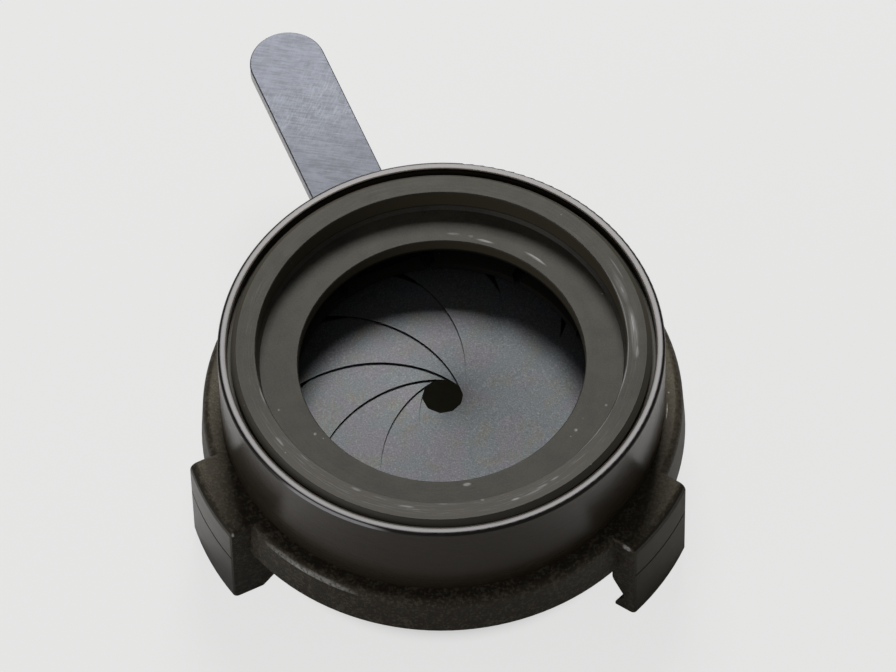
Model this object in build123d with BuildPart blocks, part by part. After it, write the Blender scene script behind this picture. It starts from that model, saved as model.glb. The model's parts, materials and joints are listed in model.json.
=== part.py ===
"""Lever-operated iris diaphragm in a hooked mounting flange, in millimetres.

+Z is the optical axis. Z = 0 is the underside of the flange, the seat that meets the host.
"""
from build123d import *
from math import acos, atan2, degrees
import os

os.makedirs("parts", exist_ok=True)

# Heights above the seat
rim_height = 19.4
shelf_top = 15.9
ring_ledge = 14.3
shelf_bottom = 13.5
cam_top = 13.4
lever_top = 11.4
lever_bottom = 9.4
cam_bottom = 8.2
cam_ledge = 8.15
leaf_level = 7.0
flange_top = 6.2
plate_top = 5.8
plate_bottom = 3.7

# Radii from the optical axis
barrel_radius = 30.0
ring_bore_radius = 28.75
cam_bore_radius = 28.1
leaf_bore_radius = 26.8
front_bore_radius = 24.85
rear_bore_radius = 24.0
plate_bore_radius = 19.6
clear_radius = 19.3
ring_shoulder_radius = 28.2
ring_bevel = 0.7
ring_thread_top = 17.9
ring_toe = 0.45
rim_round = 0.5
edge_break = 0.12
running_fit = 0.06

# Ten leaves: curved strips whose inner edges close round the opening
leaf_count = 10
leaf_step = 360 / leaf_count
leaf_inner_radius = 18.5
leaf_width = 7.8
leaf_thickness = 0.12
leaf_rise = 0.28  # climb of a leaf over one leaf step, so also the gap between leaves
least_opening = 2.67
first_leaf_angle = 61.5
leaf_arc_radius = leaf_inner_radius + leaf_width / 2
leaf_offset = leaf_inner_radius - least_opening
# The pivots lie on the leaf arc's own radius, so a leaf swings out to a true circle
pivot_arc_angle = -degrees(acos(leaf_offset / 2 / leaf_arc_radius))
leaf_arc_size = 139.8
drive_arc_angle = pivot_arc_angle + leaf_arc_size
drive_arc_radius = 23.7
stud_radius = 0.6
collar_radius = 0.95
collar_height = 0.15
pivot_stud_bottom = 4.3
leaf_half_turn = 126
climb_radius = 14.8
climb_inner_radius = 2.2

# Cam ring: its slots follow the drive studs, which swing in and out over these radii
slot_inner_radius = 20.9
slot_outer_radius = 23.7
slot_play = 0.38  # sideways room that a steady ratio of leaf to ring turn takes
cam_radius = 28.03
cam_rim_inner_radius = 25.9
cam_bore = 20.0
drive_stud_top = 9.9
lever_travel = 80.4

# Lever
lever_angle = 115.5
lever_width = 10.5
lever_reach = 61.8
lever_root = 20.8
lever_edge_break = 0.15
lever_screw_radius = 22.2
lever_screw_spacing = 5.0
lever_screw_size = 0.7
lever_screw_head = 1.3
lever_slot_gap = 0.2
lever_stop_gap = 0.8
screw_slot_width = 0.3
screw_slot_depth = 0.3

# Screws that hold the barrel down on the flange
barrel_screw_count = 3
first_barrel_screw = 30
barrel_screw_circle = 28.7
barrel_screw_size = 0.7
barrel_screw_hole = 0.85
barrel_screw_top = 8.0
barrel_head_size = 1.35
barrel_head_pocket = 1.5
barrel_head_bottom = 1.6
barrel_head_seat = 3.0
barrel_hex_size = 0.7
barrel_hex_depth = 0.7

# Flange and its claws
flange_seat_bore = 27.6
flange_radius = 32.8
flange_draft = 0.4
flange_top_round = 1.1
flange_foot_round = 0.5
claw_count = 3
first_claw_angle = 90
claw_radius = 35.5
claw_width = 12.6
claw_drop = 10.0
claw_root = 31.0
claw_inner_radius = 31.9
claw_foot_round = 0.9
claw_edge_round = 0.4
groove_start = -3.4
groove_start_round = 2.0
groove_radius = 33.9
groove_height = -6.8
groove_round = 0.8
lip_radius = 32.4
lip_top = -9.0
lip_round = 0.45
parting_line_depth = 0.22

# A wall that closes each claw's groove at one end, where the host's lugs stop
stop_radius = 29.5
stop_thickness = 2.4
stop_chamfer = 2.0


def save(piece, name):
    piece.part.label = name
    export_step(piece.part, f"parts/{name}.step")


def axial_plane(angle):
    """A plane through the optical axis, with its x axis pointing outward at the angle."""
    return Plane.XZ.rotated((0, 0, angle))


# Mounting flange: a cast ring with three hooked claws, turned inside for the barrel
with BuildPart() as claw_stop:
    with BuildSketch(Plane.XZ):
        with BuildLine():
            Polyline(
                (stop_radius, 0),
                (stop_radius, stop_chamfer - claw_drop),
                (stop_radius + stop_chamfer, -claw_drop),
                (claw_radius - claw_foot_round, -claw_drop),
                (claw_radius - claw_foot_round, 0),
                close=True,
            )
        make_face()
    revolve(axis=Axis.Z)
    with Locations((claw_radius, (claw_width - stop_thickness) / 2, 0)):
        Box(claw_radius, stop_thickness, 4 * claw_drop, mode=Mode.INTERSECT)

with BuildPart() as claw:
    with BuildSketch(Plane.XZ) as claw_section:
        with BuildLine():
            Polyline(
                (claw_root, flange_top),
                (claw_radius, flange_top),
                (claw_radius, -claw_drop),
                (lip_radius, -claw_drop),
                (lip_radius, lip_top),
                (groove_radius, groove_height),
                (claw_inner_radius, groove_start),
                (claw_inner_radius, 0),
                (claw_root, 0),
                close=True,
            )
        make_face()
        fillet(claw_section.vertices().group_by(Axis.X)[-1].sort_by(Axis.Y)[-1], flange_top_round)
        claw_rounds = [
            (claw_radius, -claw_drop, claw_foot_round),
            (lip_radius, lip_top, lip_round),
            (groove_radius, groove_height, groove_round),
            (claw_inner_radius, groove_start, groove_start_round),
        ]
        for corner_radius, corner_height, corner_round in claw_rounds:
            corner = claw_section.vertices().sort_by_distance((corner_radius, corner_height))[0]
            fillet(corner, corner_round)
    revolve(axis=Axis.Z)
    with Locations((claw_radius, 0, 0)):
        Box(claw_radius, claw_width, 4 * claw_drop, mode=Mode.INTERSECT)
    add(claw_stop.part)
    fillet(claw.edges().filter_by(Axis.Z).group_by(Axis.X)[-1], claw_edge_round)
    with BuildSketch(Plane.XZ):
        with Locations((claw_radius, 0)):
            RegularPolygon(parting_line_depth, 4)
    revolve(axis=Axis.Z, mode=Mode.SUBTRACT)

with BuildPart() as mounting_flange:
    with BuildSketch(Plane.XZ) as flange_section:
        with BuildLine():
            Polyline(
                (rear_bore_radius, 0),
                (flange_radius, 0),
                (flange_radius - flange_draft, flange_top),
                (flange_seat_bore, flange_top),
                (flange_seat_bore, plate_bottom),
                (rear_bore_radius, plate_bottom),
                close=True,
            )
        make_face()
        outer_corners = flange_section.vertices().sort_by(Axis.X)[-2:].sort_by(Axis.Y)
        fillet(outer_corners[-1], flange_top_round)
        fillet(outer_corners[0], flange_foot_round)
    revolve(axis=Axis.Z)
    with PolarLocations(0, claw_count, start_angle=first_claw_angle):
        add(claw.part)
    with BuildSketch():
        with PolarLocations(barrel_screw_circle, barrel_screw_count, start_angle=first_barrel_screw):
            Circle(barrel_screw_hole)
    extrude(amount=flange_top, mode=Mode.SUBTRACT)
    with BuildSketch():
        with PolarLocations(barrel_screw_circle, barrel_screw_count, start_angle=first_barrel_screw):
            Circle(barrel_head_pocket)
    extrude(amount=barrel_head_seat, mode=Mode.SUBTRACT)

save(mounting_flange, "mounting_flange")

# Barrel: a stepped tube with a spigot in the flange and a slot that the lever sweeps
lever_half_angle = degrees((lever_width / 2 + lever_stop_gap) / cam_bore_radius)
lever_slot_start = lever_angle - lever_travel - lever_half_angle
lever_slot_arc = lever_travel + 2 * lever_half_angle

with BuildPart() as barrel:
    with BuildSketch(Plane.XZ) as barrel_section:
        with BuildLine():
            Polyline(
                (barrel_radius, flange_top),
                (barrel_radius, rim_height),
                (ring_bore_radius, rim_height),
                (ring_bore_radius, ring_ledge),
                (cam_bore_radius, ring_ledge),
                (cam_bore_radius, cam_ledge),
                (leaf_bore_radius, cam_ledge),
                (leaf_bore_radius, plate_top),
                (flange_seat_bore - running_fit, plate_top),
                (flange_seat_bore - running_fit, flange_top),
                close=True,
            )
        make_face()
        rim_corners = barrel_section.vertices().group_by(Axis.Y)[-1].sort_by(Axis.X)
        fillet(rim_corners[-1], rim_round)
        chamfer(rim_corners[0], edge_break)
    revolve(axis=Axis.Z)
    with BuildSketch(axial_plane(lever_slot_start)):
        with Locations((barrel_radius, (lever_bottom + lever_top) / 2)):
            Rectangle(2 * (barrel_radius - leaf_bore_radius), lever_top - lever_bottom + 2 * lever_slot_gap)
    revolve(axis=Axis.Z, revolution_arc=lever_slot_arc, mode=Mode.SUBTRACT)
    with BuildSketch(Plane.XY.offset(plate_top)):
        with PolarLocations(barrel_screw_circle, barrel_screw_count, start_angle=first_barrel_screw):
            Circle(barrel_screw_size)
    extrude(amount=barrel_screw_top - plate_top, mode=Mode.SUBTRACT)

save(barrel, "barrel")

with BuildPart() as barrel_screws:
    with BuildSketch(Plane.XY.offset(barrel_head_seat)):
        with PolarLocations(barrel_screw_circle, barrel_screw_count, start_angle=first_barrel_screw):
            Circle(barrel_screw_size)
    extrude(amount=barrel_screw_top - barrel_head_seat)
    with BuildSketch(Plane.XY.offset(barrel_head_bottom)):
        with PolarLocations(barrel_screw_circle, barrel_screw_count, start_angle=first_barrel_screw):
            Circle(barrel_head_size)
    extrude(amount=barrel_head_seat - barrel_head_bottom)
    with BuildSketch(Plane.XY.offset(barrel_head_bottom)):
        with PolarLocations(barrel_screw_circle, barrel_screw_count, start_angle=first_barrel_screw):
            RegularPolygon(barrel_hex_size, 6)
    extrude(amount=barrel_hex_depth, mode=Mode.SUBTRACT)

save(barrel_screws, "barrel_screws")

# Cover ring: the shelf round the opening, over the cam ring
with BuildPart() as cover_ring:
    with BuildSketch(Plane.XZ) as cover_section:
        with BuildLine():
            Polyline(
                (clear_radius, shelf_bottom),
                (cam_bore_radius - running_fit, shelf_bottom),
                (cam_bore_radius - running_fit, ring_ledge),
                (ring_bore_radius - running_fit, ring_ledge),
                (ring_bore_radius - running_fit, shelf_top),
                (clear_radius, shelf_top),
                close=True,
            )
        make_face()
        bore_corners = cover_section.vertices().group_by(Axis.X)[0]
        chamfer(bore_corners, edge_break)
    revolve(axis=Axis.Z)

save(cover_ring, "cover_ring")

# Retaining ring: screwed down on the cover ring, with a bevelled shoulder inside the rim
# and a toe that spreads its foot
with BuildPart() as retaining_ring:
    with BuildSketch(Plane.XZ) as retaining_section:
        with BuildLine():
            Polyline(
                (front_bore_radius - ring_toe, shelf_top),
                (ring_bore_radius - running_fit, shelf_top),
                (ring_bore_radius - running_fit, ring_thread_top),
                (ring_shoulder_radius, ring_thread_top),
                (ring_shoulder_radius, rim_height - ring_bevel),
                (ring_shoulder_radius - ring_bevel, rim_height),
                (front_bore_radius, rim_height),
                (front_bore_radius, shelf_top + ring_toe),
                close=True,
            )
        make_face()
        inner_edge = retaining_section.vertices().sort_by_distance((front_bore_radius, rim_height))[0]
        chamfer(inner_edge, edge_break)
    revolve(axis=Axis.Z)

save(retaining_ring, "retaining_ring")

# Leaf: a strip of a helicoid about the optical axis, cut to its outline.
# The leaf's middle points along +X, its pivot end lies low and its drive end high.
leaf_centre = Vector(-leaf_offset, 0)
pivot_point = leaf_centre + Vector(leaf_arc_radius, 0).rotate(Axis.Z, pivot_arc_angle)
drive_point = leaf_centre + Vector(drive_arc_radius, 0).rotate(Axis.Z, drive_arc_angle)


def leaf_height(point):
    return leaf_level + leaf_rise * degrees(atan2(point.Y, point.X)) / leaf_step


with BuildPart() as ramp:
    with BuildLine() as climb:
        Helix(
            pitch=leaf_rise * leaf_count,
            height=leaf_rise * 2 * leaf_half_turn / leaf_step,
            radius=climb_radius,
            center=(0, 0, leaf_level - leaf_rise * leaf_half_turn / leaf_step),
        )
    with BuildSketch(Plane(origin=climb.line @ 0, x_dir=(1, 0, 0), z_dir=climb.line % 0)):
        Rectangle(2 * (climb_radius - climb_inner_radius), leaf_thickness)
    sweep(path=climb.line, is_frenet=True)

with BuildPart() as leaf:
    add(ramp.part, rotation=(0, 0, -leaf_half_turn))
    with BuildSketch():
        leaf_arc = CenterArc(leaf_centre, leaf_arc_radius, pivot_arc_angle, leaf_arc_size, mode=Mode.PRIVATE)
        SlotArc(leaf_arc, leaf_width)
        with Locations(pivot_point, drive_point):
            Circle(stud_radius, mode=Mode.SUBTRACT)
    extrude(amount=2 * leaf_level, mode=Mode.INTERSECT)

with BuildPart() as studs:
    pivot_height = leaf_height(pivot_point) + leaf_thickness / 2
    drive_height = leaf_height(drive_point) - leaf_thickness / 2
    with BuildSketch(Plane.XY.offset(pivot_height)):
        with Locations(pivot_point):
            Circle(stud_radius)
    extrude(amount=pivot_stud_bottom - pivot_height)
    with BuildSketch(Plane.XY.offset(pivot_height - leaf_thickness)):
        with Locations(pivot_point):
            Circle(collar_radius)
    extrude(amount=-collar_height)
    with BuildSketch(Plane.XY.offset(drive_height)):
        with Locations(drive_point):
            Circle(stud_radius)
    extrude(amount=drive_stud_top - drive_height)
    with BuildSketch(Plane.XY.offset(drive_height + leaf_thickness)):
        with Locations(drive_point):
            Circle(collar_radius)
    extrude(amount=collar_height)

for index in range(leaf_count):
    leaf_angle = first_leaf_angle + leaf_step * index
    with BuildPart() as placed_leaf:
        add(leaf.part, rotation=(0, 0, leaf_angle))
    save(placed_leaf, f"leaf_{index + 1:02d}")
    with BuildPart() as placed_studs:
        add(studs.part, rotation=(0, 0, leaf_angle))
    save(placed_studs, f"leaf_{index + 1:02d}_studs")

# Pivot plate: the fixed ring that the leaves turn on, clamped under the barrel
first_pivot_angle = first_leaf_angle + degrees(atan2(pivot_point.Y, pivot_point.X))

with BuildPart() as pivot_plate:
    with BuildSketch(Plane.XY.offset(plate_bottom)):
        Circle(flange_seat_bore - running_fit)
        Circle(plate_bore_radius, mode=Mode.SUBTRACT)
        with PolarLocations(leaf_arc_radius, leaf_count, start_angle=first_pivot_angle):
            Circle(stud_radius + running_fit, mode=Mode.SUBTRACT)
    extrude(amount=plate_top - plate_bottom)

save(pivot_plate, "pivot_plate")

# Cam ring: a slotted web that drives the studs, with a rim that turns in the barrel
first_slot_angle = first_leaf_angle + degrees(atan2(drive_point.Y, drive_point.X))
lever_screw_offsets = [(lever_screw_radius, side * lever_screw_spacing / 2) for side in (-1, 1)]

with BuildPart() as cam_ring:
    with BuildSketch(Plane.XZ):
        with BuildLine():
            Polyline(
                (cam_bore, cam_bottom),
                (cam_radius, cam_bottom),
                (cam_radius, cam_top),
                (cam_rim_inner_radius, cam_top),
                (cam_rim_inner_radius, lever_bottom),
                (cam_bore, lever_bottom),
                close=True,
            )
        make_face()
    revolve(axis=Axis.Z)
    with BuildSketch(Plane.XY.offset(cam_bottom)):
        slot_middle = (slot_inner_radius + slot_outer_radius) / 2
        with PolarLocations(slot_middle, leaf_count, start_angle=first_slot_angle):
            SlotCenterToCenter(
                slot_outer_radius - slot_inner_radius,
                2 * (stud_radius + running_fit + slot_play),
            )
    extrude(amount=lever_bottom - cam_bottom, mode=Mode.SUBTRACT)
    with BuildSketch(Plane.XY.offset(lever_bottom).rotated((0, 0, lever_angle))):
        with Locations((cam_radius, 0)):
            Rectangle(4 * (cam_radius - cam_rim_inner_radius), lever_width)
    extrude(amount=cam_top - lever_bottom, mode=Mode.SUBTRACT)
    with BuildSketch(Plane.XY.offset(cam_bottom).rotated((0, 0, lever_angle))):
        with Locations(*lever_screw_offsets):
            Circle(lever_screw_size)
    extrude(amount=lever_bottom - cam_bottom, mode=Mode.SUBTRACT)

save(cam_ring, "cam_ring")

# Lever: a flat bar with a full round end, let into the cam ring's rim
with BuildPart() as lever:
    with BuildSketch(Plane.XY.offset(lever_bottom).rotated((0, 0, lever_angle))):
        with Locations((lever_root, 0)):
            Rectangle(
                lever_reach - lever_width / 2 - lever_root, lever_width, align=(Align.MIN, Align.CENTER)
            )
        with Locations((lever_reach - lever_width / 2, 0)):
            Circle(lever_width / 2)
    extrude(amount=lever_top - lever_bottom)
    chamfer(lever.faces().filter_by(Axis.Z).edges(), lever_edge_break)
    with Locations(Plane.XY.offset(lever_top).rotated((0, 0, lever_angle))):
        with Locations(*lever_screw_offsets):
            CounterSinkHole(lever_screw_size, lever_screw_head, counter_sink_angle=90)

save(lever, "lever")

with BuildPart() as lever_screws:
    with Locations(Plane.XY.offset(lever_top).rotated((0, 0, lever_angle))):
        with Locations(*lever_screw_offsets):
            Cylinder(
                lever_screw_size,
                lever_top - cam_bottom - running_fit,
                align=(Align.CENTER, Align.CENTER, Align.MAX),
            )
            Cone(
                lever_screw_size,
                lever_screw_head,
                lever_screw_head - lever_screw_size,
                align=(Align.CENTER, Align.CENTER, Align.MAX),
            )
            Box(
                2 * lever_screw_head,
                screw_slot_width,
                2 * screw_slot_depth,
                mode=Mode.SUBTRACT,
            )

save(lever_screws, "lever_screws")
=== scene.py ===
import json
from math import cos, radians, sin

import bpy
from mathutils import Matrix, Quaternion, Vector


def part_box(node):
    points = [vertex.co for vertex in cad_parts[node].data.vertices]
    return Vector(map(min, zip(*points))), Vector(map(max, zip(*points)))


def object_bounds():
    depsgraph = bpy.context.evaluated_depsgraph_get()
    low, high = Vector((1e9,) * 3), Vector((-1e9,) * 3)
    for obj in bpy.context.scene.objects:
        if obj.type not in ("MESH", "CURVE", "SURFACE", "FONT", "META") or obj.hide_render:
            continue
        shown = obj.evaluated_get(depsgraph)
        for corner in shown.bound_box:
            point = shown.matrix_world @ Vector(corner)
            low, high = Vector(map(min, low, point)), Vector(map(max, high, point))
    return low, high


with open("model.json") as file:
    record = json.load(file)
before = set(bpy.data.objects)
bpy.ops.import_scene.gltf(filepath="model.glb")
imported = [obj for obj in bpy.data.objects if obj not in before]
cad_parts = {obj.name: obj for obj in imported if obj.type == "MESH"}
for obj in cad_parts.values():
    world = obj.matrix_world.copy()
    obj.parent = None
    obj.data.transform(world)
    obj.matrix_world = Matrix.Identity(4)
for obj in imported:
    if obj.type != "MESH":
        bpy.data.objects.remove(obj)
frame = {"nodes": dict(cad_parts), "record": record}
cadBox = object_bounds()
nodes = frame["nodes"]
scene = bpy.context.scene
mm = 0.001
arcRadius = 25  # strokes round the optical axis have their stated length at this radius
print("frame loaded:", len(nodes), "nodes")


# Node trees written as sums

class Wire:
    # a node's output that takes part in sums; each sum adds one Math node
    def __init__(self, graph, socket):
        self.graph = graph
        self.socket = socket

    def math(self, operation, *others, swapped=False):
        values = [*others, self] if swapped else [self, *others]
        return self.graph.node("ShaderNodeMath", {"operation": operation}, values)

    def other(self, output):
        # another output of the same node
        return Wire(self.graph, self.socket.node.outputs[output])

    def __add__(self, other):
        return self.math("ADD", other)

    __radd__ = __add__

    def __sub__(self, other):
        return self.math("SUBTRACT", other)

    def __rsub__(self, other):
        return self.math("SUBTRACT", other, swapped=True)

    def __mul__(self, other):
        return self.math("MULTIPLY", other)

    __rmul__ = __mul__

    def __truediv__(self, other):
        return self.math("DIVIDE", other)

    def __rtruediv__(self, other):
        return self.math("DIVIDE", other, swapped=True)

    def __pow__(self, other):
        return self.math("POWER", other)

    def __abs__(self):
        return self.math("ABSOLUTE")


class Graph:
    # a tree of shader nodes
    def __init__(self, tree):
        self.tree = tree

    def node(self, kind, settings=None, inputs=(), output=0):
        # any node: its settings first, then its inputs by number or by name
        made = self.tree.nodes.new(kind)
        for name, value in (settings or {}).items():
            setattr(made, name, value)
        pairs = inputs.items() if isinstance(inputs, dict) else enumerate(inputs)
        for key, value in pairs:
            if isinstance(value, Wire):
                self.tree.links.new(value.socket, made.inputs[key])
            elif value is not None:
                made.inputs[key].default_value = value
        return Wire(self, made.outputs[output])

    def vector(self, x, y, z):
        return self.node("ShaderNodeCombineXYZ", inputs=[x, y, z])

    def part(self, vector, axis):
        return self.node("ShaderNodeSeparateXYZ", inputs=[vector]).other(axis)

    def fade(self, value, start, end):
        # 0 at start, 1 at end, smooth between; start may be above end
        settings = {"interpolation_type": "SMOOTHSTEP"}
        return self.node("ShaderNodeMapRange", settings, [value, start, end, 0, 1])

    def near(self, value, middle, reach, softness):
        # 1 within reach of the middle, 0 beyond the softness
        return self.fade(abs(value - middle), reach + softness, reach)

    def blend(self, share, first, second):
        # between two values
        return first + share * (second - first)

    def mix(self, share, first, second):
        # between two colours, each a wire or a tuple
        colours = [value if isinstance(value, Wire) else (*value, 1) for value in (first, second)]
        inputs = {0: share, 6: colours[0], 7: colours[1]}
        return self.node("ShaderNodeMix", {"data_type": "RGBA"}, inputs, output=2)

    def seenDirectly(self):
        # 1 for what the camera sees, also through clear things
        rays = self.node("ShaderNodeLightPath", output="Is Camera Ray")
        return (rays + rays.other("Is Transmission Ray")).math("MINIMUM", 1)


class Finish(Graph):
    # one material, with places on the part in millimetres
    def __init__(self, name, **uniform):
        self.material = bpy.data.materials.new(name)
        self.material.use_nodes = True
        super().__init__(self.material.node_tree)
        self.shader = self.tree.nodes["Principled BSDF"]
        for socket, value in uniform.items():
            self.shader.inputs[socket.replace("_", " ")].default_value = value
        coordinates = self.node("ShaderNodeTexCoord", output="Object")
        inputs = {"Vector": coordinates, "Scale": 1 / mm}
        self.place = self.node("ShaderNodeVectorMath", {"operation": "SCALE"}, inputs)
        self.x, self.y, self.z = (self.part(self.place, axis) for axis in "XYZ")
        self.radius = (self.x * self.x + self.y * self.y) ** 0.5
        self.up = self.part(coordinates.other("Normal"), "Z")

    def below(self, level, start, end):
        # 0 at the first depth below a level and 1 at the second
        return self.fade(self.z, level - start, level - end)

    def noise(self, place, size, detail=3, roughness=0.5, distortion=0):
        inputs = {"Vector": place, "Scale": 1 / size, "Detail": detail,
                  "Roughness": roughness, "Distortion": distortion}
        return self.node("ShaderNodeTexNoise", inputs=inputs, output="Fac")

    def strokes(self, stretched, detail, roughness=0.5):
        # noise on a place from along or around
        return self.noise(stretched, 1, detail, roughness)

    def along(self, angle, length, pitch):
        # place stretched along a direction in the plane
        turn = radians(angle)
        lengthways = self.x * cos(turn) + self.y * sin(turn)
        crossways = self.y * cos(turn) - self.x * sin(turn)
        return self.vector(lengthways / length, crossways / pitch, self.z / pitch)

    def around(self, length, pitch):
        # place stretched round the optical axis
        scale = arcRadius / length
        return self.vector(
            self.x / self.radius * scale, self.y / self.radius * scale, (self.radius + self.z) / pitch)

    def specks(self, place, spacing, size, share, softness=0.6):
        # small round specks in a share of the cells of a pattern
        inputs = {"Vector": place, "Scale": 1 / spacing}
        distance = self.node("ShaderNodeTexVoronoi", inputs=inputs, output="Distance")
        drawn = self.part(distance.other("Color"), "X")
        chosen = self.fade(drawn, 1 - share, 1 - softness * share)
        return self.fade(distance * spacing, size, (1 - softness) * size) * chosen

    def marks(self, shape, places):
        # short scratches, spots where the paint is chipped, and painted highlights, each with its angle,
        # radius, level, length, width and strength
        total = 0
        for angle, radius, level, length, width, strength in places:
            turn = radians(angle)
            across = self.x * cos(turn) + self.y * sin(turn) - radius
            lengthways = self.y * cos(turn) - self.x * sin(turn)
            bent = across + lengthways * lengthways / (2 * radius)
            reach = ((lengthways * (2 / length)) ** 2 + (bent * (2 / width)) ** 2) ** 0.5
            spot = self.fade(reach, shape["edge"], shape["core"]) * strength
            total = total + spot * self.near(self.z, level, shape["depth"], shape["softness"])
        return total.math("MINIMUM", 1)

    def put(self, **wires):
        for name, wire in wires.items():
            self.tree.links.new(wire.socket, self.shader.inputs[name.replace("_", " ")])

    def relief(self, height):
        # a height in millimetres
        bump = self.node("ShaderNodeBump", inputs={"Strength": 1, "Distance": mm, "Height": height})
        self.put(Normal=bump)


# Camera, floor and light

cameraPlace = {
    "azimuth": 4.69,
    "elevation": 56.43,
    "distance": 1.06887,
    "tilt": -1.59,
    "lens": 321.4,
    "shift": (0.00753, 0.01055),
    "clip": (0.01, 20),
}


def backAt(azimuth, elevation):
    # direction from the part to something that stands at an azimuth, 0 being in front
    turn, rise = radians(azimuth), radians(elevation)
    return Vector((sin(turn) * cos(rise), -cos(turn) * cos(rise), sin(rise)))


def makeCamera(settings):
    data = bpy.data.cameras.new("camera")
    data.lens = settings["lens"]
    data.shift_x, data.shift_y = settings["shift"]
    data.clip_start, data.clip_end = settings["clip"]
    camera = bpy.data.objects.new("camera", data)
    scene.collection.objects.link(camera)
    back = backAt(settings["azimuth"], settings["elevation"])
    rimCentre = Vector((0, 0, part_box("barrel")[1].z))
    camera.location = rimCentre + back * settings["distance"]
    camera.rotation_mode = "QUATERNION"
    tilt = Quaternion((0, 0, 1), radians(settings["tilt"]))
    camera.rotation_quaternion = (-back).to_track_quat("-Z", "Y") @ tilt
    scene.camera = camera


paper = (0.79, 0.79, 0.785)  # the floor and what stands behind it

floorLook = {
    "size": 6,
    "roughness": 0.9,
    "shine": 0.1,
    "shadowShare": 0.08,  # how much of the true shadow the camera sees
    "underneath": (22, 29),  # radii between which the floor comes out from under the part
    # painted shade: the floor's colour under the part, darker than the paper
    "paintedShadeUnder": (0.31, 0.3, 0.2),
}


def makeFloor(settings):
    floorMesh = bpy.data.meshes.new("floor")
    half = settings["size"] / 2
    level = cadBox[0].z
    corners = [(-half, -half, level), (half, -half, level), (half, half, level), (-half, half, level)]
    floorMesh.from_pydata(corners, [], [(0, 1, 2, 3)])
    floor = bpy.data.objects.new("floor", floorMesh)
    scene.collection.objects.link(floor)
    look = Finish("floor_paper", Roughness=settings["roughness"], Specular_IOR_Level=settings["shine"])
    plain = look.node("ShaderNodeEmission", inputs=[(*paper, 1), 1])
    outside = look.fade(look.radius, *settings["underneath"])
    # painted shade on the floor under the part, the paper beyond
    look.put(Base_Color=look.mix(outside, settings["paintedShadeUnder"], paper))
    shown = look.seenDirectly() * outside * (1 - settings["shadowShare"])
    lit = look.node("ShaderNodeMixShader", inputs=[shown, Wire(look, look.shader.outputs[0]), plain])
    fromBelow = look.node("ShaderNodeNewGeometry", output="Backfacing")
    clear = look.node("ShaderNodeBsdfTransparent")
    surface = look.node("ShaderNodeMixShader", inputs=[fromBelow, lit, clear])
    look.tree.links.new(surface.socket, look.tree.nodes["Material Output"].inputs["Surface"])
    floor.data.materials.append(look.material)


lampSettings = {
    "key": {
        "azimuth": 184,
        "elevation": 46.5,
        "distance": 0.55,
        "size": (0.21, 0.16),
        "power": 3.0,
        "colour": (1, 0.995, 0.985),
    },
    "leftFill": {
        "azimuth": -52,
        "elevation": 24,
        "distance": 0.6,
        "size": (0.36, 0.3),
        "power": 1.0,
        "colour": (0.93, 0.94, 1),
    },
}


def makeLamps(settings):
    for name, lamp in settings.items():
        data = bpy.data.lights.new(name, "AREA")
        data.shape = "RECTANGLE"
        data.size, data.size_y = lamp["size"]
        data.energy = lamp["power"]
        data.color = lamp["colour"]
        light = bpy.data.objects.new(name, data)
        scene.collection.objects.link(light)
        back = backAt(lamp["azimuth"], lamp["elevation"])
        light.location = back * lamp["distance"]
        light.rotation_mode = "QUATERNION"
        light.rotation_quaternion = (-back).to_track_quat("-Z", "Y")


worldLevel = {
    "horizon": 0.16,
    "zenith": 0.25,
    "rise": (0.15, 1.0),
    "rear": 0.9,  # how much darker it is behind the part
    "rearFade": (0.1, 0.6),
}


def makeWorld(settings):
    scene.world = bpy.data.worlds.new("studio")
    scene.world.use_nodes = True
    look = Graph(scene.world.node_tree)
    direction = look.node("ShaderNodeTexCoord", output="Generated")
    rise = look.fade(look.part(direction, "Z"), *settings["rise"])
    rear = look.fade(look.part(direction, "Y"), *settings["rearFade"]) * settings["rear"]
    level = look.blend(rise, settings["horizon"], settings["zenith"]) * (1 - rear)
    soft = look.node("ShaderNodeCombineColor", inputs=[level, level, level])
    colour = look.mix(look.seenDirectly(), soft, paper)
    look.tree.links.new(colour.socket, look.tree.nodes["Background"].inputs["Color"])


makeCamera(cameraPlace)
makeFloor(floorLook)
makeLamps(lampSettings)
makeWorld(worldLevel)
scene.view_settings.view_transform = "Standard"
print("camera, floor and lamps made")


# Flange: rough cast paint, with the claws' outer faces and the bores turned smooth

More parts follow.
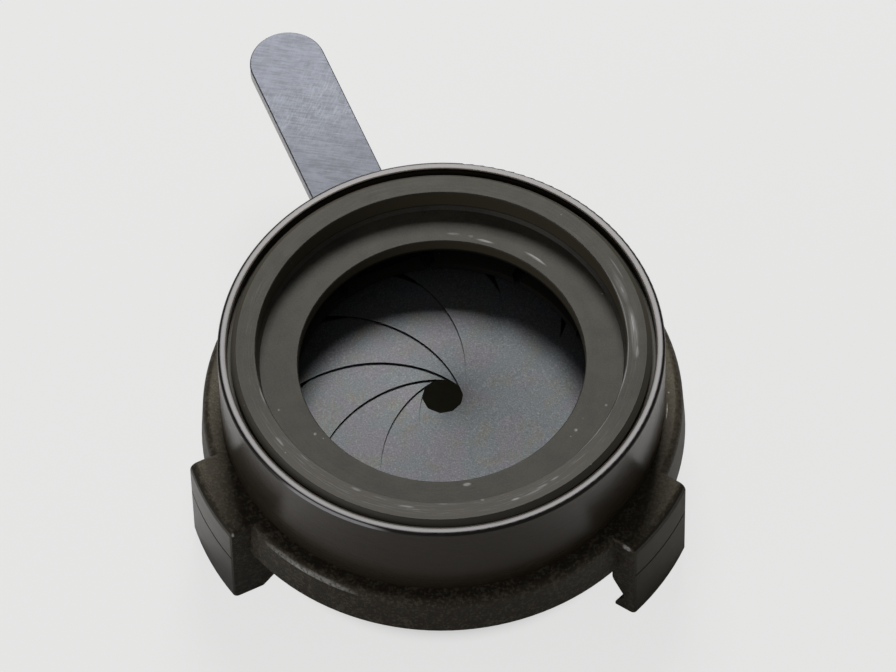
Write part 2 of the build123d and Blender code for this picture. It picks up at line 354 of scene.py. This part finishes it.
castLook = {
    "black": (0.0085, 0.006, 0.0035),
    "grain": (0.045, 0.038, 0.027),
    "turned": (0.022, 0.019, 0.015),
    "paintedGlint": (0.5, 0.49, 0.46),
    "sheen": (1, 0.9, 0.7, 1),
    "shine": 0.38,
    "roughness": (0.42, 0.68),
    "turnedRoughness": (0.3, 0.42),
    "grainSize": 0.42,
    "grainHeight": 0.075,
    "pitSize": 1.3,
    "pitHeight": 0.05,
    "pitShare": 0.3,  # how much the pits add to the glints
    "glints": (0.62, 0.78),
    "turning": (30, 0.15),  # length and pitch of the turning marks
    "turningHeight": 0.004,
    "clawFace": 35.3,  # the claws' outer faces lie beyond this radius
    "boreWall": 27.7,
    "wallFade": 0.1,
    "dullSide": (5, 20),  # the turned faces grow duller towards the right
    "dullness": 0.3,
    "paintedLightSide": (24, 31),  # painted light: the flange's right side is painted lighter, with more of the light grain
    "paintedLightGrain": (0.36, 0.6),
    "dustAndLightShare": 0.7,
    "corner": (0.002, 0.0015, 0.001),  # painted shade: the claws' top corners are painted darker than the paint
    "cornerRadius": (34.95, 35.12),
    "cornerLevel": (5.65, 5.85),
    # painted highlights: pale spots and lines on the claws' top edges, on the flange's top rounding and
    # where the barrel meets the flange, drawn as spots where the paint is chipped
    "paintedGlintGrain": (0.3, 0.55),
    "paintedGlintShape": {"edge": 1, "core": 0.4, "depth": 0.6, "softness": 0.1},
    "paintedGlints": [
        (-139.5, 35.1, 6.0, 0.9, 0.5, 0.7),
        (-40.8, 34.3, 6.0, 0.7, 1.9, 0.7),
        (-117.0, 32.45, 5.9, 13.0, 1.0, 0.4),
        (-127.0, 32.4, 5.9, 9.0, 0.8, 0.25),
        (4.9, 30.5, 6.2, 0.35, 0.35, 0.7),
        (-0.7, 30.3, 6.2, 3.2, 0.22, 1.0),
    ],
}


def castFinish(look):
    paint = Finish("flange_cast_paint", Specular_IOR_Level=look["shine"], Specular_Tint=look["sheen"])
    fine = paint.noise(paint.place, look["grainSize"], detail=4, roughness=0.65)
    coarse = paint.noise(paint.place, look["pitSize"], detail=2)
    face = paint.fade(paint.radius, look["clawFace"], look["clawFace"] + look["wallFade"])
    bore = paint.fade(paint.radius, look["boreWall"] + look["wallFade"], look["boreWall"])
    turned = (face + bore).math("MINIMUM", 1)
    glints = paint.fade(fine + coarse * look["pitShare"], *look["glints"])
    cast = paint.mix(glints, look["black"], look["grain"])
    # painted light: the grain grows lighter towards the right
    paintedLightRight = paint.fade(paint.x, *look["paintedLightSide"]) * paint.fade(fine, *look["paintedLightGrain"])
    lightenedRight = paint.mix(paintedLightRight * look["dustAndLightShare"], cast, look["grain"])
    # painted shade on the claws' top corners
    corner = paint.fade(paint.radius, *look["cornerRadius"]) * paint.fade(paint.z, *look["cornerLevel"])
    plain = paint.mix(corner, paint.mix(turned, lightenedRight, look["turned"]), look["corner"])
    # painted highlights, speckled by the grain
    paintedGlints = paint.marks(look["paintedGlintShape"], look["paintedGlints"]) * paint.fade(fine, *look["paintedGlintGrain"])
    turning = paint.strokes(paint.around(*look["turning"]), detail=2)
    dull = paint.fade(paint.x, *look["dullSide"]) * look["dullness"]
    castRoughness = paint.blend(fine, *look["roughness"])
    turnedRoughness = paint.blend(turning, *look["turnedRoughness"]) + dull
    paint.put(
        Base_Color=paint.mix(paintedGlints, plain, look["paintedGlint"]),
        Roughness=paint.blend(turned, castRoughness, turnedRoughness),
    )
    rough = fine * look["grainHeight"] + coarse * look["pitHeight"]
    paint.relief(paint.blend(turned, rough, turning * look["turningHeight"]))
    return paint.material


# Barrel: smooth black enamel; the rim's land is painted pale, partly rubbed through and partly a painted
# highlight, and the rim's rounded edge carries painted shade

enamelLook = {
    "black": (0.023, 0.0176, 0.0115),
    "bareMetalAndHighlight": (0.3, 0.295, 0.305),
    "sheen": (1, 0.92, 0.84, 1),
    "shine": 0.42,
    "roughness": (0.24, 0.34),
    "peelSize": 1.6,
    "peelHeight": 0.012,
    "turning": (30, 0.1),
    "turningHeight": 0.001,
    "landDepth": (0.05, 0.015),
    "wornAndHighlightLine": (29.3, 0.08, 0.34),  # the land is painted pale round this radius: partly rubbed through, partly a painted highlight of the rim
    "breaks": (9, 0.3),  # length and pitch of the gaps in the pale line
    "breakLevels": (0.2, 0.42),
    "wornRoughness": 0.28,
    "dullLine": (28.65, 0.22, 0.12),
    "dullRoughness": 0.4,
    "paintedDarkBend": (0.004, 0.003, 0.002),  # painted shade: the rim's rounded edge is painted darker than the enamel
    "bendDepth": (0.55, 0.35),
    "rubAndHighlightShape": {"edge": 1, "core": 0.6, "depth": 0.12, "softness": 0.1},
    # painted highlight: a pale arc on the rim's outer rounding at the lower left, partly rubbed through
    "rubsAndHighlight": [(-116, 29.93, 19.15, 18, 0.7, 1.0)],
}


def enamelFinish(look):
    paint = Finish("barrel_enamel_paint", Specular_IOR_Level=look["shine"], Specular_Tint=look["sheen"])
    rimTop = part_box("barrel")[1].z / mm
    peel = paint.noise(paint.place, look["peelSize"], detail=1)
    turning = paint.strokes(paint.around(*look["turning"]), detail=2)
    breaks = paint.strokes(paint.around(*look["breaks"]), detail=3, roughness=0.6)
    land = paint.below(rimTop, *look["landDepth"])
    line = land * paint.near(paint.radius, *look["wornAndHighlightLine"])
    rubsAndHighlight = paint.marks(look["rubAndHighlightShape"], look["rubsAndHighlight"])
    # the pale land line and arc: partly rubbed through, partly painted highlight
    wornAndHighlight = (line + rubsAndHighlight).math("MINIMUM", 1) * paint.fade(breaks, *look["breakLevels"])
    dull = paint.near(paint.radius, *look["dullLine"]) * land
    # painted shade on the rim's rounded edge
    paintedDarkBend = paint.below(rimTop, *look["bendDepth"])
    enamel = paint.mix(paintedDarkBend, look["black"], look["paintedDarkBend"])
    roughness = paint.blend(turning, *look["roughness"])
    paint.put(
        Base_Color=paint.mix(wornAndHighlight, enamel, look["bareMetalAndHighlight"]),
        Roughness=roughness + wornAndHighlight * look["wornRoughness"] + dull * look["dullRoughness"],
    )
    paint.relief(peel * look["peelHeight"] + turning * look["turningHeight"])
    return paint.material


# Rings: black anodised aluminium, turned, dusty and scuffed

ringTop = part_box("retaining_ring")[1].z / mm
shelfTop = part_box("cover_ring")[1].z / mm

ringLook = {
    "black": (0.0115, 0.0102, 0.0072),
    "light": (0.026, 0.0232, 0.0175),
    "sheen": (1, 0.975, 0.89, 1),
    "shine": 0.36,
    "roughness": (0.52, 0.66),
    "turning": (16, 0.12),
    "turningHeight": 0.008,
    "grainSize": 0.22,
    "grainHeight": 0.01,
    "cloudSize": 2.8,
    "shadeShares": (0.8, 0.4, 0.8),  # of the clouds, the turning marks and the grain
    "shade": (0.75, 1.2),
    "topFace": (ringTop, 0.1, 0.1),
    "paintedLightFront": (0.045, 0.0405, 0.0345),  # painted light: the front of the top face is painted lighter
    "frontLightFade": (-5, -22),
    "scuffAndHighlight": (0.3, 0.3, 0.3),
    "streakBand": (25.9, 0.5, 0.8),  # the top face is streaked round this radius
    "streaks": (5, 0.2),
    "streakGaps": (0.5, 0.75),
    "streakShare": (0.1, 0.4),  # at the back and in front
    "bore": (0.055, 0.046, 0.028),
    "wallSlope": (0.5, 0.2),
    "foot": (0.004, 0.003, 0.002),  # painted shade where the bore meets the shelf, and on all below the shelf
    "footDepth": (-0.75, -0.45),
    "footRadius": (22, 23),
    "deepDepth": (1.7, 2),
    "shoulder": (0.052, 0.047, 0.037),
    "shoulderDepth": (3, 1),
    "shoulderRadius": (27.42, 27.6),
    "dustSpacing": 1.5,
    "dustSize": 0.14,
    "dustAndLightShare": 0.2,
    "dustLight": 0.5,
    "scrape": (5, 0.13),  # length and pitch of the gaps in the scuffs
    "scrapeGaps": (0.36, 0.56),
    "scrapeLeast": 0.25,
    "scuffAndHighlightShape": {"edge": 1, "core": 0.35, "depth": 0.25, "softness": 0.1},
    "scuffsAndHighlights": [
        (-156.9, 23.1, shelfTop, 0.45, 0.45, 0.5),
        (-142.0, 20.5, shelfTop, 0.55, 0.5, 0.9),
        (-29.1, 21.2, shelfTop, 0.6, 0.55, 1.0),
        (-15.4, 23.2, shelfTop, 0.5, 0.5, 0.5),
        (-77.0, 20.1, shelfTop, 1.4, 0.7, 1.0),
        (82.2, 20.4, shelfTop, 1.0, 0.5, 0.3),
        # painted highlights: this mark and the next stand for light on the shelf's bore edge
        (76.5, 20.1, shelfTop, 3.0, 0.45, 0.7),
        (55.5, 20.7, shelfTop, 4.4, 0.5, 0.9),
        (89.0, 20.5, shelfTop, 2.2, 0.5, 0.35),
        (-141.6, 26.2, ringTop, 2.4, 0.45, 0.6),
        (-132.3, 25.3, ringTop, 2.2, 0.25, 0.35),
        (-113.0, 25.3, ringTop, 1.8, 0.5, 0.45),
        (-96.8, 25.8, ringTop, 2.7, 0.3, 0.6),
        (-86.1, 25.1, ringTop, 1.8, 0.3, 0.3),
        (-74.1, 25.1, ringTop, 0.7, 0.5, 0.5),
        (-64.8, 26.3, ringTop, 1.5, 0.4, 0.7),
        (-56.0, 26.1, ringTop, 2.2, 0.4, 0.5),
        (-51.3, 26.0, ringTop, 1.7, 0.35, 0.5),
        (0.5, 26.2, ringTop, 2.6, 0.6, 0.45),
        (10.9, 25.9, ringTop, 4.0, 0.5, 0.7),
        (23.2, 25.8, ringTop, 1.5, 0.25, 0.4),
        (31.0, 26.6, ringTop, 5.0, 0.3, 0.3),
        (-158.5, 25.1, ringTop, 3.6, 0.3, 0.4),
        (-100.7, 28.1, ringTop, 0.5, 0.3, 0.3),
        (8.0, 25.9, ringTop, 10.0, 1.3, 0.4),
        (24.0, 25.8, ringTop, 7.0, 1.2, 0.22),
        (18.0, 24.98, ringTop, 14.0, 0.3, 0.5),
        (-6.0, 24.98, ringTop, 14.0, 0.3, 0.6),
        (-30.0, 24.98, ringTop, 11.0, 0.26, 0.4),
    ],
}


def ringFinish(look):
    black = Finish("ring_black_anodised", Specular_IOR_Level=look["shine"], Specular_Tint=look["sheen"])
    turning = black.strokes(black.around(*look["turning"]), detail=3, roughness=0.7)
    clouds = black.noise(black.place, look["cloudSize"], detail=3)
    grain = black.noise(black.place, look["grainSize"], detail=2)
    cloudShare, turningShare, grainShare = look["shadeShares"]
    shade = black.fade(clouds * cloudShare + turning * turningShare + grain * grainShare, *look["shade"])
    body = black.mix(shade, look["black"], look["light"])

    # the top face
    top = black.near(black.z, *look["topFace"])
    front = black.fade(black.y, *look["frontLightFade"])
    # painted light on the front of the top face
    frontLit = black.mix(front * top, body, look["paintedLightFront"])
    band = black.near(black.radius, *look["streakBand"]) * top
    streak = black.strokes(black.around(*look["streaks"]), detail=3, roughness=0.8)
    streaks = band * black.fade(streak, *look["streakGaps"]) * black.blend(front, *look["streakShare"])
    streaked = black.mix(streaks, frontLit, look["scuffAndHighlight"])

    # the walls
    outer = black.fade(black.radius, *look["shoulderRadius"])
    shoulder = outer * black.below(ringTop, *look["shoulderDepth"])
    shouldered = black.mix(shoulder, streaked, look["shoulder"])
    # painted shade where the bore meets the shelf
    foot = black.below(shelfTop, *look["footDepth"]) * black.fade(black.radius, *look["footRadius"])
    bore = black.mix(foot, look["bore"], look["foot"])
    wall = black.fade(abs(black.up), *look["wallSlope"])
    # painted shade on all below the shelf
    deepShade = black.below(shelfTop, *look["deepDepth"])
    walled = black.mix(deepShade, black.mix(wall, shouldered, bore), look["foot"])

    # dust, scuffed marks and painted highlights
    dust = black.specks(black.place, look["dustSpacing"], look["dustSize"], look["dustAndLightShare"])
    scrape = black.strokes(black.around(*look["scrape"]), detail=2, roughness=0.7)
    scraped = black.blend(black.fade(scrape, *look["scrapeGaps"]), look["scrapeLeast"], 1)
    scuffsAndHighlights = black.marks(look["scuffAndHighlightShape"], look["scuffsAndHighlights"]) * scraped
    light = (scuffsAndHighlights + dust * look["dustLight"]).math("MINIMUM", 1)
    black.put(
        Base_Color=black.mix(light, walled, look["scuffAndHighlight"]),
        Roughness=black.blend(turning, *look["roughness"]),
    )
    black.relief(turning * look["turningHeight"] + grain * look["grainHeight"])
    return black.material


# Leaves: thin blued steel with a dull grain and faint temper colours

leafLook = {
    "blue": (0.064, 0.071, 0.076),
    "violet": (0.071, 0.068, 0.076),
    "green": (0.064, 0.071, 0.069),
    "brown": (0.071, 0.068, 0.063),
    "blueToViolet": (0.42, 0.58),
    "greenToBrown": (0.4, 0.6),
    "coolToWarm": (0.45, 0.7),
    "cloudSize": 5.5,
    "tintSize": 3.4,
    "rolling": (90, 4, 0.7),  # angle, length and pitch of the rolling marks
    "dark": (0.03, 0.03, 0.03),
    "darkGrain": (0.5, 0.3),
    "light": (0.16, 0.16, 0.16),
    "lightGrain": (0.5, 0.72),
    "grainShare": 0.65,
    "grainSize": 0.24,
    "grainHeight": 0.02,
    "edge": (0.014, 0.014, 0.014),  # painted shade: the leaves' thin edge faces are painted dark, standing in for the dark lines between the leaves
    "shadedEdgeSlope": (0.7, 0.4),
    "metallic": 0.95,
    "roughness": (0.45, 0.63),
}


def leafFinish(look):
    steel = Finish("leaf_blued_steel", Metallic=look["metallic"])
    grain = steel.noise(steel.place, look["grainSize"], detail=3, roughness=0.75)
    clouds = steel.noise(steel.place, look["cloudSize"], detail=2)
    tints = steel.noise(steel.place, look["tintSize"], detail=2, distortion=0.6)
    rolling = steel.strokes(steel.along(*look["rolling"]), detail=2)
    cool = steel.mix(steel.fade(clouds, *look["blueToViolet"]), look["blue"], look["violet"])
    warm = steel.mix(steel.fade(rolling, *look["greenToBrown"]), look["green"], look["brown"])
    tinted = steel.mix(steel.fade(tints, *look["coolToWarm"]), cool, warm)
    darkGrain = steel.fade(grain, *look["darkGrain"]) * look["grainShare"]
    lightGrain = steel.fade(grain, *look["lightGrain"]) * look["grainShare"]
    speckled = steel.mix(lightGrain, steel.mix(darkGrain, tinted, look["dark"]), look["light"])
    # painted shade on the edge faces
    edge = steel.fade(abs(steel.up), *look["shadedEdgeSlope"])
    steel.put(
        Base_Color=steel.mix(edge, speckled, look["edge"]),
        Roughness=steel.blend(grain, *look["roughness"]),
    )
    steel.relief(grain * look["grainHeight"])
    return steel.material


# Lever: flat steel bar, brushed a little askew, with handling scratches

leverLook = {
    "angle": 115.5,
    "steel": (0.107, 0.113, 0.132),
    "dark": (0.055, 0.058, 0.067),
    "bright": (0.178, 0.186, 0.204),
    "brush": (-6, 3.4, 0.28),  # angle, length and pitch of the strokes
    "brushHeight": 0.008,
    "cross": (72, 1.6, 0.22),  # the same of the strokes across them
    "crossHeight": 0.004,
    "crossShare": 0.2,
    "cloudSize": 1.5,
    "cloudShare": 0.35,
    "shade": (0.58, 0.96),
    "scratch": (0.62, 0.76),
    "scratchShare": 0.6,
    "handled": (48, 2, 5),  # reach, half length and fade of what fingers rub
    "handledClouds": 0.4,
    "handledGaps": (0.68, 0.86),
    "handledShare": 0.2,
    "root": (28, 58),  # reaches along the bar between which it grows lighter
    "rootTone": 0.76,
    "side": (0.37, 0.37, 0.37),
    "sideSlope": (0.5, 0.2),
    "inside": (0.006, 0.006, 0.006),  # painted shade: dark where it lies in the barrel
    "insideRadius": (29.8, 29.4),
    "metallic": 0.8,
    "roughness": (0.4, 0.6),
}


def leverFinish(look):
    steel = Finish("lever_brushed_steel", Metallic=look["metallic"])
    turn = radians(look["angle"])
    reach = steel.x * cos(turn) + steel.y * sin(turn)
    brush = steel.strokes(steel.along(*look["brush"]), detail=4, roughness=0.75)
    cross = steel.strokes(steel.along(*look["cross"]), detail=3, roughness=0.7)
    clouds = steel.noise(steel.place, look["cloudSize"], detail=4, roughness=0.7)
    shade = steel.fade(brush + cross * look["crossShare"] + clouds * look["cloudShare"], *look["shade"])
    body = steel.mix(shade, look["dark"], look["steel"])
    rubbed = steel.fade(cross + clouds * look["handledClouds"], *look["handledGaps"])
    handled = steel.near(reach, *look["handled"]) * rubbed
    scratches = steel.fade(brush, *look["scratch"]) * look["scratchShare"]
    scratch = (scratches + handled * look["handledShare"]).math("MINIMUM", 1)
    scratched = steel.mix(scratch, body, look["bright"])
    tone = steel.blend(steel.fade(reach, *look["root"]), look["rootTone"], 1)
    inputs = {"Vector": scratched, "Scale": tone}
    toned = steel.node("ShaderNodeVectorMath", {"operation": "SCALE"}, inputs)
    side = steel.fade(abs(steel.up), *look["sideSlope"])
    # painted shade where the lever lies in the barrel
    inside = steel.fade(steel.radius, *look["insideRadius"])
    steel.put(
        Base_Color=steel.mix(inside, steel.mix(side, toned, look["side"]), look["inside"]),
        Roughness=steel.blend(brush, *look["roughness"]),
    )
    steel.relief(brush * look["brushHeight"] + cross * look["crossHeight"])
    return steel.material


# Screws and studs: plain machined steel

screwLook = {
    "dull": (0.3, 0.3, 0.3),
    "bright": (0.45, 0.45, 0.46),
    "inside": (0.015, 0.015, 0.015),  # painted shade: dark in the light path
    "insideRadius": (26, 25),
    "grainSize": 0.2,
    "grainHeight": 0.004,
    "metallic": 1.0,
    "roughness": (0.3, 0.5),
}


def screwFinish(look):
    steel = Finish("screw_plain_steel", Metallic=look["metallic"])
    grain = steel.noise(steel.place, look["grainSize"], detail=3)
    bare = steel.mix(grain, look["dull"], look["bright"])
    # painted shade in the light path
    inside = steel.fade(steel.radius, *look["insideRadius"])
    steel.put(
        Base_Color=steel.mix(inside, bare, look["inside"]),
        Roughness=steel.blend(grain, *look["roughness"]),
    )
    steel.relief(grain * look["grainHeight"])
    return steel.material


def dressNodes():
    finishes = {
        "flange_casting": castFinish(castLook),
        "barrel_enamel": enamelFinish(enamelLook),
        "ring_anodised": ringFinish(ringLook),
        "leaf_steel": leafFinish(leafLook),
        "lever_steel": leverFinish(leverLook),
        "screw_steel": screwFinish(screwLook),
    }
    for part in frame["record"]["subparts"]:
        node = nodes[part["node"]]
        node.data.materials.clear()
        node.data.materials.append(finishes[part["material_slot"]])
        node.data.polygons.foreach_set("use_smooth", [True] * len(node.data.polygons))


dressNodes()
print("finishes made")
